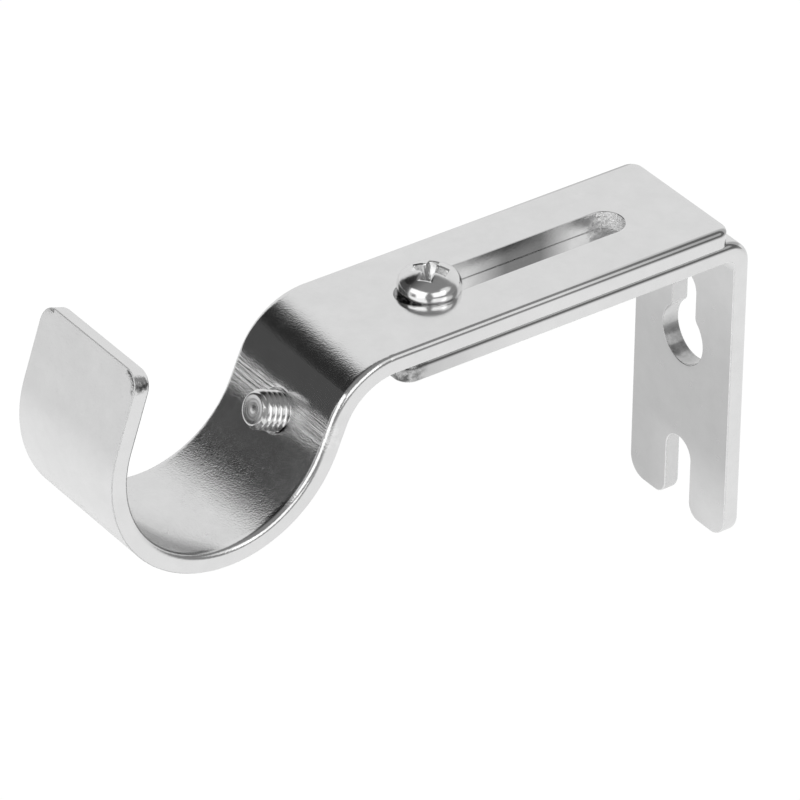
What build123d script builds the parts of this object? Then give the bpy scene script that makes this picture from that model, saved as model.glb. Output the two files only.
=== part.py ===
from build123d import *
import math
import os

# An adjustable bracket that carries a curtain pole off a wall, in millimetres.
# X runs along the pole, -Y points from the wall into the room and Z is up.
# The origin lies on the wall face, midway between the seats of the two wall screws.

# Wall strip: a steel strip folded once into a wall plate and a level leg
WALL_STRIP_INSET = 0.2
WALL_STRIP_THICK = 2.5
FOLD_INSIDE_R = 1.0
LEG_TOP = 23.9
LEG_REACH = 52.6
LEG_CORNER_R = 2.0
PLATE_DROP = 20.6
PLATE_CORNER_R = 2.8

# Wall screw holes: a keyhole above and an open notch below
WALL_SCREW_SPACING = 25.2
NECK_WIDTH = 4.8
KEYHOLE_R = 4.1
KEYHOLE_DROP = 7.35
KEYHOLE_BLEND_R = 1.2
NOTCH_WIDTH = 5.0
NOTCH_MOUTH_R = 2.0

# Arm strip: a slotted flat run, a downward bend, the pole cup and its lip
ARM_WIDTH = 20.0
ARM_THICK = 2.5
ARM_WALL_GAP = 3.2
ARM_CORNER_R = 1.8
BEND_CLEARANCE = 1.1
BEND_INSIDE_R = 7.9
BEND_TURN = 67.0
CUP_WALL_RUN = 3.8
CUP_R = 14.25
LIP_LEAN = 18.0
LIP_LENGTH = 10.2
LIP_CORNER_R = 2.4

# Strip edges: rounded on the punch side, barely broken on the burr side
ROUND_EDGE_R = 0.8
BROKEN_EDGE = 0.12

# Clamp screw: a pan head screw with a cross recess, on top of the arm
CLAMP_THREAD_D = 4.0
THREAD_CLEARANCE = 0.05
THREAD_TIP_CHAMFER = 0.4
HEAD_D = 8.0
HEAD_HEIGHT = 3.1
HEAD_RIM_HEIGHT = 0.6
HEAD_RIM_CHAMFER = 0.4
HEAD_SIDE_R = 1.75
RECESS_SPAN = 5.0
RECESS_FOOT = 1.8
RECESS_WING = 1.1
RECESS_DEPTH = 2.2
CLAMP_FROM_LEG_END = 10.7
CLAMP_LENGTH = 8.0
CLAMP_RECESS_TURN = 40.0

# Locking screw: the same form one size up, through the cup's wall
LOCK_THREAD_D = 5.0
LOCK_HEAD_D = 9.5
LOCK_BELOW_BEND = 3.2
LOCK_LENGTH = 8.0
LOCK_PROUD = 3.6
LOCK_LEAD_IN = 0.3

# Adjusting slot in the arm, which the clamp screw passes through
SLOT_SIDE_PLAY = 0.55
SLOT_LENGTH = 33.8
SLOT_LEAD = 4.7

# Sizes and places that follow from the sizes above
WALL_STRIP_WIDTH = ARM_WIDTH - 2 * WALL_STRIP_INSET
BEND_START = LEG_REACH + BEND_CLEARANCE
CUP_TURN = 90.0 + BEND_TURN + LIP_LEAN
ARM_TOP = LEG_TOP + ARM_THICK
CLAMP_Y = CLAMP_FROM_LEG_END - LEG_REACH
SLOT_WIDTH = CLAMP_THREAD_D + 2 * SLOT_SIDE_PLAY
SLOT_FRONT_Y = CLAMP_Y - SLOT_LEAD
CLAMP_HOLE_R = CLAMP_THREAD_D / 2 + THREAD_CLEARANCE
LOCK_HOLE_R = LOCK_THREAD_D / 2 + THREAD_CLEARANCE
NECK_SEAT_Z = WALL_SCREW_SPACING / 2
NOTCH_SEAT_Z = -WALL_SCREW_SPACING / 2
KEYHOLE_Z = NECK_SEAT_Z - KEYHOLE_DROP
CUT_THROUGH = 4 * max(ARM_THICK, WALL_STRIP_THICK)
TOUCH = 0.001
SMOOTH_JOIN = 0.99


def run_on(curve, length):
    """A straight run that carries on from the end of a curve."""
    start = curve @ 1
    return Line(start, start + (curve % 1) * length)


def wall_line(depth):
    """The wall strip's side line, at a depth below its outer face."""
    plate_foot = (-depth, -PLATE_DROP)
    fold_foot = (-depth, LEG_TOP - WALL_STRIP_THICK - FOLD_INSIDE_R)
    plate = Line(plate_foot, fold_foot)
    fold = JernArc(plate @ 1, plate % 1, FOLD_INSIDE_R + WALL_STRIP_THICK - depth, 90)
    leg_end = (-LEG_REACH, LEG_TOP - depth)
    leg = Line(fold @ 1, leg_end)
    return [plate, fold, leg]


def arm_line(depth):
    """The arm's side line, at a depth below its upper face."""
    height = ARM_TOP - depth
    flat = Line((-ARM_WALL_GAP, height), (-BEND_START, height))
    bend = JernArc(flat @ 1, flat % 1, BEND_INSIDE_R + ARM_THICK - depth, BEND_TURN)
    cup_wall = run_on(bend, CUP_WALL_RUN)
    cup = JernArc(cup_wall @ 1, cup_wall % 1, CUP_R + depth, -CUP_TURN)
    lip = run_on(cup, LIP_LENGTH)
    return [flat, bend, cup_wall, cup, lip]


def strip(face_line, back_line, width):
    """A bent strip between its two side lines, centred on X."""
    first_end = Line(face_line[0] @ 0, back_line[0] @ 0)
    last_end = Line(face_line[-1] @ 1, back_line[-1] @ 1)
    side = make_face(Curve() + face_line + back_line + [first_end, last_end])
    return extrude(Plane.YZ * side, amount=width / 2, both=True)


def corner_edges(solid, thick):
    """The short edges across a strip's thickness, from the wall outwards."""
    short = solid.edges().filter_by(GeomType.LINE).filter_by(lambda edge: abs(edge.length - thick) < TOUCH)
    return short.sort_by(Axis.Y, reverse=True)


def is_sharp(solid, edge):
    """Whether two faces meet at an angle along an edge."""
    middle = edge @ 0.5
    normals = [face.normal_at(middle) for face in solid.faces() if edge in face.edges()]
    return len(normals) == 2 and normals[0].dot(normals[1]) < SMOOTH_JOIN


def rim_edges(solid, side_line):
    """The sharp edges of a strip that lie over one of its side lines."""
    found = []
    for edge in solid.edges():
        middle = edge @ 0.5
        foot = Vertex(middle.Y, middle.Z, 0)
        near = min(curve.distance_to(foot) for curve in side_line) < TOUCH
        if near and is_sharp(solid, edge):
            found.append(edge)
    return found


def soften(solid, round_line, broken_line):
    """Rounds the punched edges of a strip and breaks the edges opposite."""
    solid = fillet(rim_edges(solid, round_line), ROUND_EDGE_R)
    return chamfer(rim_edges(solid, broken_line), BROKEN_EDGE)


def keyhole():
    """Round hole for a screw's head, with a neck above for its shank."""
    neck_length = KEYHOLE_DROP
    neck = Pos(0, KEYHOLE_Z + neck_length / 2) * Rectangle(NECK_WIDTH, neck_length)
    seat = Pos(0, NECK_SEAT_Z) * Circle(NECK_WIDTH / 2)
    hole = Sketch() + neck + seat + Pos(0, KEYHOLE_Z) * Circle(KEYHOLE_R)
    on_neck = hole.vertices().filter_by(lambda point: abs(abs(point.X) - NECK_WIDTH / 2) < TOUCH)
    return fillet(on_neck.group_by(Axis.Y)[0], KEYHOLE_BLEND_R)


def notch():
    """Open slot for the lower wall screw, with a rounded mouth."""
    length = NOTCH_SEAT_Z + PLATE_DROP
    slot = Pos(0, NOTCH_SEAT_Z - length / 2) * Rectangle(NOTCH_WIDTH, length)
    slot += Pos(0, NOTCH_SEAT_Z) * Circle(NOTCH_WIDTH / 2)
    for side in (-1, 1):
        edge_x = side * NOTCH_WIDTH / 2
        half = side * NOTCH_MOUTH_R / 2
        corner = Pos(edge_x + half, NOTCH_MOUTH_R / 2 - PLATE_DROP) * Rectangle(NOTCH_MOUTH_R, NOTCH_MOUTH_R)
        corner -= Pos(edge_x + 2 * half, NOTCH_MOUTH_R - PLATE_DROP) * Circle(NOTCH_MOUTH_R)
        slot += corner
    return slot


def wall_bracket():
    """The folded wall strip with its wall screw holes and the clamp screw's tapped hole."""
    outer_line = wall_line(0)
    inner_line = wall_line(WALL_STRIP_THICK)
    body = strip(outer_line, inner_line, WALL_STRIP_WIDTH)
    corners = corner_edges(body, WALL_STRIP_THICK)
    body = fillet(corners[:2], PLATE_CORNER_R)
    corners = corner_edges(body, WALL_STRIP_THICK)
    body = fillet(corners[-2:], LEG_CORNER_R)
    body = soften(body, outer_line, inner_line)
    body -= extrude(Plane.XZ * keyhole(), amount=CUT_THROUGH, both=True)
    body -= extrude(Plane.XZ * notch(), amount=CUT_THROUGH, both=True)
    body -= Pos(0, CLAMP_Y, LEG_TOP) * Cylinder(CLAMP_HOLE_R, CUT_THROUGH)
    return body


def lock_plane():
    """The locking screw's hole on the inside of the cup wall, with Z pointing out of the cup."""
    cup_wall = arm_line(0)[2]
    middle = cup_wall @ (LOCK_BELOW_BEND / CUP_WALL_RUN)
    along = cup_wall % 0
    inside = Vector(0, middle.X, middle.Y)
    outwards = Vector(0, -along.Y, along.X)
    return Plane(origin=inside, x_dir=(1, 0, 0), z_dir=outwards)


def lead_in():
    """The countersink at the cup end of the locking screw's hole, carried on past the curved face."""
    clear = ARM_THICK / 2
    mouth_r = LOCK_HOLE_R + LOCK_LEAD_IN + clear
    height = LOCK_LEAD_IN + clear
    return Pos(0, 0, height / 2 - clear) * Cone(mouth_r, LOCK_HOLE_R, height)


def arm():
    """The slotted arm with its bend, pole cup, lip and the locking screw's tapped hole."""
    upper_line = arm_line(0)
    under_line = arm_line(ARM_THICK)
    body = strip(upper_line, under_line, ARM_WIDTH)
    corners = corner_edges(body, ARM_THICK)
    body = fillet(corners[:2], ARM_CORNER_R)
    corners = corner_edges(body, ARM_THICK)
    body = fillet(corners[-2:], LIP_CORNER_R)
    body = soften(body, upper_line, under_line)
    slot = SlotOverall(SLOT_LENGTH, SLOT_WIDTH, rotation=90)
    slot_middle = Pos(0, SLOT_FRONT_Y + SLOT_LENGTH / 2, ARM_TOP)
    body -= extrude(slot_middle * slot, amount=CUT_THROUGH, both=True)
    body -= lock_plane().location * Cylinder(LOCK_HOLE_R, CUT_THROUGH)
    body -= lock_plane().location * lead_in()
    return body


def recess_wedge(mouth, foot):
    """A wedge along Y that narrows from the crown down to the recess's foot."""
    top = HEAD_HEIGHT
    bottom = HEAD_HEIGHT - RECESS_DEPTH
    points = [(-mouth / 2, top), (mouth / 2, top), (foot / 2, bottom), (-foot / 2, bottom)]
    side = make_face(Polyline(points, close=True))
    return extrude(Plane.XZ * side, amount=RECESS_SPAN, both=True)


def cross_recess():
    """The cross recess of a screw head, as two crossing wings with sloping ends and flanks."""
    ends = recess_wedge(RECESS_SPAN, RECESS_FOOT)
    flanks = Rot(0, 0, 90) * recess_wedge(RECESS_WING, RECESS_WING / 2)
    wing = ends & flanks
    return wing + Rot(0, 0, 90) * wing


def pan_head():
    """The clamp screw's head, which stands on its underside."""
    head_r = HEAD_D / 2
    rim_in = head_r - HEAD_RIM_CHAMFER
    dome_height = HEAD_HEIGHT - HEAD_RIM_HEIGHT
    crown_r = (head_r**2 + dome_height**2 - 2 * head_r * HEAD_SIDE_R) / (2 * (dome_height - HEAD_SIDE_R))
    crown_half_angle = math.degrees(math.atan2(head_r - HEAD_SIDE_R, crown_r - dome_height))
    under = Line((0, 0), (rim_in, 0))
    rim = Line((rim_in, 0), (head_r, HEAD_RIM_CHAMFER))
    side = Line(rim @ 1, (head_r, HEAD_RIM_HEIGHT))
    shoulder = JernArc(side @ 1, (0, 1), HEAD_SIDE_R, 90 - crown_half_angle)
    crown = TangentArc(shoulder @ 1, (0, HEAD_HEIGHT), tangent=shoulder % 1)
    axis_line = Line(crown @ 1, (0, 0))
    head_side = make_face(Curve() + [under, rim, side, shoulder, crown, axis_line])
    head = revolve(Plane.XZ * head_side, Axis.Z)
    return head - cross_recess()


def pan_head_screw(head_d, thread_d, length):
    """A pan head screw that stands on its head's underside, with its shank pointing down."""
    head = scale(pan_head(), by=head_d / HEAD_D)
    shank = Pos(0, 0, -length / 2) * Cylinder(thread_d / 2, length)
    shank = chamfer(shank.edges().sort_by(Axis.Z)[0], THREAD_TIP_CHAMFER)
    return head + shank


def clamp_screw():
    """The screw that clamps the arm to the leg, seated on the arm's upper face."""
    screw = pan_head_screw(HEAD_D, CLAMP_THREAD_D, CLAMP_LENGTH)
    return Pos(0, CLAMP_Y, ARM_TOP) * Rot(0, 0, CLAMP_RECESS_TURN) * screw


def locking_screw():
    """The screw through the cup wall, with its tip inside the cup and its head on the wall side."""
    head_seat = LOCK_LENGTH - LOCK_PROUD
    screw = pan_head_screw(LOCK_HEAD_D, LOCK_THREAD_D, LOCK_LENGTH)
    return lock_plane().location * Pos(0, 0, head_seat) * screw


PIECES = {
    "wall_bracket": wall_bracket(),
    "arm": arm(),
    "clamp_screw": clamp_screw(),
    "locking_screw": locking_screw(),
}

os.makedirs("parts", exist_ok=True)
for name, solid in PIECES.items():
    export_step(solid, f"parts/{name}.step")
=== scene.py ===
# %% [markdown]
# # An adjustable curtain pole bracket
# The bracket has four pieces: a strip folded into an L that goes on the wall, a slotted arm that ends
# in a cup for the pole, a screw that clamps the two together, and a screw that locks the pole.
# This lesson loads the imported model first. It gives every size, and each piece that we make takes the
# place of one of its nodes, so we never have to fit anything by eye.

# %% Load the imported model
import math
import bmesh
import bpy
from mathutils import Matrix, Vector


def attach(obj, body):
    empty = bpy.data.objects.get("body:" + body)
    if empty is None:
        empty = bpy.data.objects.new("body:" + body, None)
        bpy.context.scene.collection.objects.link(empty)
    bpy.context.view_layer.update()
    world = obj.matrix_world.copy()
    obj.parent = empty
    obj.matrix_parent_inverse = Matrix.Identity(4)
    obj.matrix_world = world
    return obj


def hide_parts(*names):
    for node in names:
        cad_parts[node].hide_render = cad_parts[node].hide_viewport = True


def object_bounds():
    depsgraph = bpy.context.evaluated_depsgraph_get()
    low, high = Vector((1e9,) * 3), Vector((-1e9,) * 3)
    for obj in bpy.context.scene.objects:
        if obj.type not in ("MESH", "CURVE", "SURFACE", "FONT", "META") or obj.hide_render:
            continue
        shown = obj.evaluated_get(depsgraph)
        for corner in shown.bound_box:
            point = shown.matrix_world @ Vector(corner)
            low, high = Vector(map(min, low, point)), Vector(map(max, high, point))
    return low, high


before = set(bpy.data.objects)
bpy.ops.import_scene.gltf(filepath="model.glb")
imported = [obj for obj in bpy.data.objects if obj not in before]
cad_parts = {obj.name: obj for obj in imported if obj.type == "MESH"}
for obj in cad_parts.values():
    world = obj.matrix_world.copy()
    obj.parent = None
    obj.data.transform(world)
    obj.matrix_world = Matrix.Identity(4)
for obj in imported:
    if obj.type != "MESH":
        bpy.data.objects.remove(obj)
cad_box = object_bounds()
print("box of the solids", cad_box)

# %% [markdown]
# ## The camera
# The photograph was taken with a long lens from the room side, right of the cup and well above it.
# A camera is a matrix: its columns are the directions right, up and back, and the place it stands in.
# We work those out from an azimuth, an elevation and a small roll, because such angles are easy to read.

# %% Stand the camera where the photograph was taken
MM = 0.001
IMAGE_SIDE = 800
FOCAL_PIXELS = 6984.91
SENSOR_WIDTH = 36.0
AZIMUTH = math.radians(54.288)
ELEVATION = math.radians(33.375)
ROLL = math.radians(0.6306)
AIM_POINT = Vector((0, -60, 13.9))
AIM_RIGHT = 11.331
AIM_UP = 2.5335
CAMERA_DISTANCE = 844.641

back = Vector((math.sin(AZIMUTH) * math.cos(ELEVATION),
               -math.cos(AZIMUTH) * math.cos(ELEVATION),
               math.sin(ELEVATION)))
level_right = Vector((0, 0, 1)).cross(back).normalized()
level_up = back.cross(level_right)
right = math.cos(ROLL) * level_right + math.sin(ROLL) * level_up
up = math.cos(ROLL) * level_up - math.sin(ROLL) * level_right
place = (AIM_POINT + AIM_RIGHT * right + AIM_UP * up + CAMERA_DISTANCE * back) * MM

camera_data = bpy.data.cameras.new("camera")
camera_data.sensor_width = SENSOR_WIDTH
camera_data.lens = SENSOR_WIDTH * FOCAL_PIXELS / IMAGE_SIDE
camera = bpy.data.objects.new("camera", camera_data)
camera.matrix_world = Matrix((right, up, back)).transposed().to_4x4()
camera.matrix_world.translation = place
bpy.context.collection.objects.link(camera)
bpy.context.scene.camera = camera
print("camera at", [round(value, 3) for value in place])

# %% [markdown]
# ## A pen for outlines
# The strips start as flat blanks, punched out of sheet steel. To draw a blank we need straight runs and
# true arcs. Blender's spin turns one vertex into an arc of edges, and an extruded vertex makes a line,
# so two small helpers give us a pen, and the outline reads like a drawing with sizes in millimetres.

# %% Draw lines and arcs
MERGE = 0.0005
ROUND_STEPS = 64
END_STEPS = 28


def pen_down(blank, across, along):
    """Start an outline."""
    return blank.verts.new((across, along, 0))


def pen_line(blank, tip, across, along):
    """Draw a straight edge from the pen's tip."""
    made = bmesh.ops.extrude_vert_indiv(blank, verts=[tip])
    made["verts"][0].co = (across, along, 0)
    return made["verts"][0]


def pen_arc(blank, tip, across, along, turn, steps):
    """Draw an arc round a centre, anticlockwise for a positive turn."""
    made = bmesh.ops.spin(blank, geom=[tip], cent=(across, along, 0), axis=(0, 0, 1),
                          angle=math.radians(turn), steps=steps)
    return [part for part in made["geom_last"] if isinstance(part, bmesh.types.BMVert)][0]


def draw_round_hole(blank, along, radius):
    """Draw a round hole on the blank's middle line."""
    pen_arc(blank, pen_down(blank, radius, along), 0, along, 360, ROUND_STEPS)


print("the pen is ready")

# %% [markdown]
# ## The arm's blank
# The arm is 20 mm wide and 2.5 mm thick. Its length is measured along the upper face, run by run: flat,
# bend, cup wall, cup and lip. The slot and the locking screw's hole are punched while the strip is flat,
# so we draw them on the flat blank too, and the bending carries them along. A corner is given by its radius
# and the number of steps in its arc.

# %% Draw the arm's outline, slot and hole
ARM_WIDTH = 20.0
ARM_THICK = 2.5
ARM_START = (-3.2, 26.4)
ARM_RUNS = [(50.5, 0.0), (10.4, 67.0), (3.8, 0.0), (14.25, -175.0), (10.2, 0.0)]
ARM_CORNER = (1.8, 10)
LIP_CORNER = (2.4, 12)
SLOT_FROM = 9.6
SLOT_TO = 43.4
SLOT_HALF = 2.55
LOCK_BELOW_BEND = 3.2
LOCK_HOLE_R = 2.55
LEAD_IN = 0.3
LEAD_IN_R = LOCK_HOLE_R + LEAD_IN


def run_length(size, turn):
    """Length of a run on the upper face: a straight size, or an arc's radius and turn."""
    return size if turn == 0 else size * math.radians(abs(turn))


def draw_sides(blank, tip, half, length, first_corner, last_corner):
    """Draw the rest of a strip once its first end is drawn: two sides, the last end and four corners."""
    first_r, first_steps = first_corner
    last_r, last_steps = last_corner
    tip = pen_arc(blank, tip, half - first_r, first_r, 90, first_steps)
    tip = pen_line(blank, tip, half, length - last_r)
    tip = pen_arc(blank, tip, half - last_r, length - last_r, 90, last_steps)
    tip = pen_line(blank, tip, last_r - half, length)
    tip = pen_arc(blank, tip, last_r - half, length - last_r, 90, last_steps)
    tip = pen_line(blank, tip, -half, first_r)
    pen_arc(blank, tip, first_r - half, first_r, 90, first_steps)


def draw_plain_strip(blank, width, length, first_corner, last_corner):
    """Draw a strip with rounded corners."""
    straight = width / 2 - first_corner[0]
    tip = pen_line(blank, pen_down(blank, -straight, 0), straight, 0)
    draw_sides(blank, tip, width / 2, length, first_corner, last_corner)


def draw_slot(blank, start, end, half):
    """Draw a long slot with round ends."""
    tip = pen_line(blank, pen_down(blank, half, start + half), half, end - half)
    tip = pen_arc(blank, tip, 0, end - half, 180, END_STEPS)
    tip = pen_line(blank, tip, -half, start + half)
    pen_arc(blank, tip, 0, start + half, 180, END_STEPS)


arm_length = sum(run_length(size, turn) for size, turn in ARM_RUNS)
LOCK_ALONG = ARM_RUNS[0][0] + run_length(*ARM_RUNS[1]) + LOCK_BELOW_BEND
arm = bmesh.new()
draw_plain_strip(arm, ARM_WIDTH, arm_length, ARM_CORNER, LIP_CORNER)
draw_slot(arm, SLOT_FROM, SLOT_TO, SLOT_HALF)
draw_round_hole(arm, LOCK_ALONG, LEAD_IN_R)
print("arm blank", round(arm_length, 2), "mm long,", len(arm.verts), "points")

# %% [markdown]
# ## From outline to sheet
# A filled outline has long thin triangles. That is fine on a flat sheet, but a bend needs lines to bend
# along, so we score the sheet across with bisect cuts, close together where an arc will be. An inset first
# gives every outline a narrow border of clean quads, which keeps the rolled edges even. Extruding the
# sheet then gives it thickness, with the upper face at height zero.

# %% Fill, score and thicken a blank
BORDER = 1.0
DEGREES_PER_CUT = 2.5
SCORE_REACH = 0.1


def fill_sheet(blank):
    """Fill the outline, leaving the holes open, and give it a border."""
    bmesh.ops.remove_doubles(blank, verts=blank.verts[:], dist=MERGE)
    bmesh.ops.triangle_fill(blank, use_beauty=True, edges=blank.edges[:])
    bmesh.ops.inset_region(blank, faces=blank.faces[:], thickness=BORDER, use_boundary=True,
                           use_even_offset=True)


def score(blank, runs):
    """Cut the sheet across wherever it is going to bend."""
    start = 0.0
    for size, turn in runs:
        length = run_length(size, turn)
        cuts = math.ceil(abs(turn) / DEGREES_PER_CUT)
        for step in range(cuts + 1 if cuts else 0):
            everything = blank.verts[:] + blank.edges[:] + blank.faces[:]
            bmesh.ops.bisect_plane(blank, geom=everything, dist=SCORE_REACH, plane_no=(0, 1, 0),
                                   plane_co=(0, start + length * step / cuts, 0))
        start += length


def thicken(blank, thick):
    """Give the sheet its thickness, downwards from the upper face."""
    made = bmesh.ops.extrude_face_region(blank, geom=blank.faces[:])
    lower = [part for part in made["geom"] if isinstance(part, bmesh.types.BMVert)]
    bmesh.ops.translate(blank, verts=lower, vec=(0, 0, -thick))
    bmesh.ops.recalc_face_normals(blank, faces=blank.faces[:])


fill_sheet(arm)
score(arm, ARM_RUNS)
thicken(arm, ARM_THICK)
print("arm sheet", len(arm.faces), "faces")

# %% [markdown]
# ## Rolled edges
# Punching rolls the edges over on the side where the punch goes in, and leaves the other side almost
# sharp. Polishing then breaks every edge a little. A bevel with several segments gives each kind of edge
# its own small radius, and these thin bright lines are what makes plated steel look like a real thing.

# %% Round the rims of a sheet
RIM_ANGLE = math.radians(60)
UPRIGHT = 0.5
ROLLED_R = 0.8
ROLLED_STEPS = 8
BROKEN_R = 0.12
BROKEN_STEPS = 3
PUNCHED_FINISH = 1
BROKEN_FINISH = 2


def rims(sheet, height, wanted):
    """The sharp edges at one height that a test on their middle point picks out."""
    found = []
    for edge in sheet.edges:
        level = all(abs(vert.co.z - height) < MERGE for vert in edge.verts)
        if level and edge.is_manifold and edge.calc_face_angle() > RIM_ANGLE:
            middle = (edge.verts[0].co + edge.verts[1].co) / 2
            if wanted(middle):
                found.append(edge)
    return found


def roll(sheet, edges, width, steps):
    """Roll edges over to a small radius, and return the new faces."""
    made = bmesh.ops.bevel(sheet, geom=edges, offset=width, offset_type="OFFSET", segments=steps,
                           profile=0.5, affect="EDGES", clamp_overlap=False, material=-1)
    return made["faces"]


def mark_punched(sheet, wanted):
    """Give punched walls their own finish."""
    for face in sheet.faces:
        if abs(face.normal.z) < UPRIGHT and wanted(face.calc_center_median()):
            face.material_index = PUNCHED_FINISH


def roll_edges(sheet, thick, at_side, at_hole):
    """Roll the outline's upper edge, and break its lower edge and both edges of the holes."""
    roll(sheet, rims(sheet, 0, at_side), ROLLED_R, ROLLED_STEPS)
    for face in roll(sheet, rims(sheet, -thick, at_side), BROKEN_R, BROKEN_STEPS):
        face.material_index = BROKEN_FINISH
    for height in (0, -thick):
        roll(sheet, rims(sheet, height, at_hole), BROKEN_R, BROKEN_STEPS)


print("rolled edges", ROLLED_R, "mm, broken edges", BROKEN_R, "mm")

# %% Round the arm's edges


def at_slot(point):
    """Whether a point is on the slot's rim."""
    return abs(point.x) < SLOT_HALF + MERGE and SLOT_FROM - MERGE < point.y < SLOT_TO + MERGE


def at_lock_hole(point):
    """Whether a point is on the rim of the locking screw's hole."""
    return math.hypot(point.x, point.y - LOCK_ALONG) < LEAD_IN_R + MERGE


def at_arm_side(point):
    """Whether a point is on the arm's outer outline."""
    return not at_slot(point) and not at_lock_hole(point)


def parts_of(faces):
    """The vertices, edges and faces of a patch, each once and in a fixed order."""
    verts = dict.fromkeys(vert for face in faces for vert in face.verts)
    edges = dict.fromkeys(edge for face in faces for edge in face.edges)
    return list(verts) + list(edges) + faces


def countersink(sheet):
    """Narrow the locking screw's hole below its lead-in, which was drawn at the width of its mouth."""
    upright = [face for face in sheet.faces if abs(face.normal.z) < UPRIGHT]
    walls = [face for face in upright if at_lock_hole(face.calc_center_median())]
    bmesh.ops.bisect_plane(sheet, geom=parts_of(walls), dist=MERGE, plane_co=(0, 0, -LEAD_IN),
                           plane_no=(0, 0, 1))
    for vert in sheet.verts:
        if vert.co.z < MERGE - LEAD_IN and at_lock_hole(vert.co):
            vert.co.x *= LOCK_HOLE_R / LEAD_IN_R
            vert.co.y = LOCK_ALONG + (vert.co.y - LOCK_ALONG) * LOCK_HOLE_R / LEAD_IN_R


mark_punched(arm, at_slot)
roll_edges(arm, ARM_THICK, at_arm_side, at_slot)
countersink(arm)
roll(arm, rims(arm, 0, at_lock_hole), BROKEN_R, BROKEN_STEPS)
print("arm with rolled edges", len(arm.faces), "faces")

# %% [markdown]
# ## Bending
# A press brake leaves the flat runs flat and turns the rest round a punch of one radius. We do the same to
# the vertices: the distance along the blank says which run a point is on, and the depth below the upper
# face says how far it lies from the bend's centre. The thickness then stays true all the way round, which
# a lattice or a curve modifier wouldn't promise.

# %% Bend a sheet along its runs


def turned(direction, angle):
    """A direction in the side view, turned anticlockwise."""
    return Matrix.Rotation(angle, 2) @ direction


def bend_table(start, heading, runs):
    """Where each run starts, which way it heads, and its size and turn."""
    table = []
    along = 0.0
    point = Vector(start)
    heading = Vector(heading)
    for size, turn in runs:
        table.append((along, point, heading, size, turn))
        length = run_length(size, turn)
        point, heading = on_run(table[-1], length, 0.0)
        along += length
    return table


def on_run(run, distance, depth):
    """A point on a run and its heading, at a distance along it and a depth below the upper face."""
    start, heading, size, turn = run[1:]
    if turn == 0:
        return start + heading * distance + turned(heading, math.pi / 2) * depth, heading
    side = math.copysign(1, turn)
    centre = start + turned(heading, side * math.pi / 2) * size
    heading = turned(heading, side * distance / size)
    inwards = turned(heading, math.pi / 2)
    return centre - inwards * (side * size - depth), heading


def find_run(table, along):
    """The run that a distance along the blank falls on."""
    passed = [run for run in table if run[0] <= along + MERGE]
    return passed[-1] if passed else table[0]


def bend(sheet, table):
    """Bend every vertex of a flat sheet into the side view."""
    for vert in sheet.verts:
        run = find_run(table, vert.co.y)
        point, heading = on_run(run, vert.co.y - run[0], -vert.co.z)
        vert.co = (vert.co.x, point.x, point.y)
    bmesh.ops.recalc_face_normals(sheet, faces=sheet.faces[:])


arm_table = bend_table(ARM_START, (-1, 0), ARM_RUNS)
bend(arm, arm_table)
print("arm reaches", round(min(vert.co.y for vert in arm.verts), 3))

# %% [markdown]
# ## From drawing to object
# The pieces were drawn in millimetres, and Blender works in metres here, so each one is scaled as it is
# finished. Smooth shading with sharp edges above a set angle, and normals weighted by face area, keep the
# flats truly flat in the reflections right up to the rolled edges.

# %% Finish a piece and put it in its node's place
SHARP_ANGLE = math.radians(38)


def finish_piece(shape, name, node):
    """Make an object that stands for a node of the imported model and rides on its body."""
    bmesh.ops.scale(shape, verts=shape.verts[:], vec=(MM, MM, MM))
    for face in shape.faces:
        face.smooth = True
    mesh = bpy.data.meshes.new(name)
    shape.to_mesh(mesh)
    shape.free()
    mesh.set_sharp_from_angle(angle=SHARP_ANGLE)
    piece = bpy.data.objects.new(name, mesh)
    bpy.context.collection.objects.link(piece)
    weighted = piece.modifiers.new("even_normals", "WEIGHTED_NORMAL")
    weighted.keep_sharp = True
    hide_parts(node)
    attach(piece, node)
    print(name, len(mesh.polygons), "faces")
    return piece


arm_strip = finish_piece(arm, "arm_strip", "arm")

# %% [markdown]
# ## The wall strip
# The L is a strip of the same stock, a hair narrower than the arm. The blank has a notch in the end that
# hangs on the lower wall screw, a keyhole for the upper one, and a hole near the other end that is tapped
# for the clamp screw. Its outer face, which goes on the wall and under the arm, is the one we draw.

# %% Draw the wall strip's blank
WALL_WIDTH = 19.6
WALL_THICK = 2.5
WALL_START = (0.0, -20.6)
WALL_RUNS = [(41.0, 0.0), (3.5, 90.0), (49.1, 0.0)]
PLATE_CORNER = (2.8, 12)
LEG_CORNER = (2.0, 10)
NOTCH_HALF = 2.5
NOTCH_SEAT = 8.0
NOTCH_MOUTH_R = 2.0
MOUTH_STEPS = 10
NECK_HALF = 2.4
NECK_SEAT = 33.2
KEYHOLE_AT = 25.85
KEYHOLE_R = 4.1
KEYHOLE_STEPS = 48
BLEND_R = 1.2
BLEND_STEPS = 8
CLAMP_Y = -41.9
CLAMP_HOLE_R = 2.05


def draw_notched_strip(blank, width, length, first_corner, last_corner):
    """Draw the strip with the open notch in its first end."""
    straight = width / 2 - first_corner[0]
    mouth = NOTCH_HALF + NOTCH_MOUTH_R
    tip = pen_line(blank, pen_down(blank, -straight, 0), -mouth, 0)
    tip = pen_arc(blank, tip, -mouth, NOTCH_MOUTH_R, 90, MOUTH_STEPS)
    tip = pen_line(blank, tip, -NOTCH_HALF, NOTCH_SEAT)
    tip = pen_arc(blank, tip, 0, NOTCH_SEAT, -180, END_STEPS)
    tip = pen_line(blank, tip, NOTCH_HALF, NOTCH_MOUTH_R)
    tip = pen_arc(blank, tip, mouth, NOTCH_MOUTH_R, 90, MOUTH_STEPS)
    tip = pen_line(blank, tip, straight, 0)
    draw_sides(blank, tip, width / 2, length, first_corner, last_corner)


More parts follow.
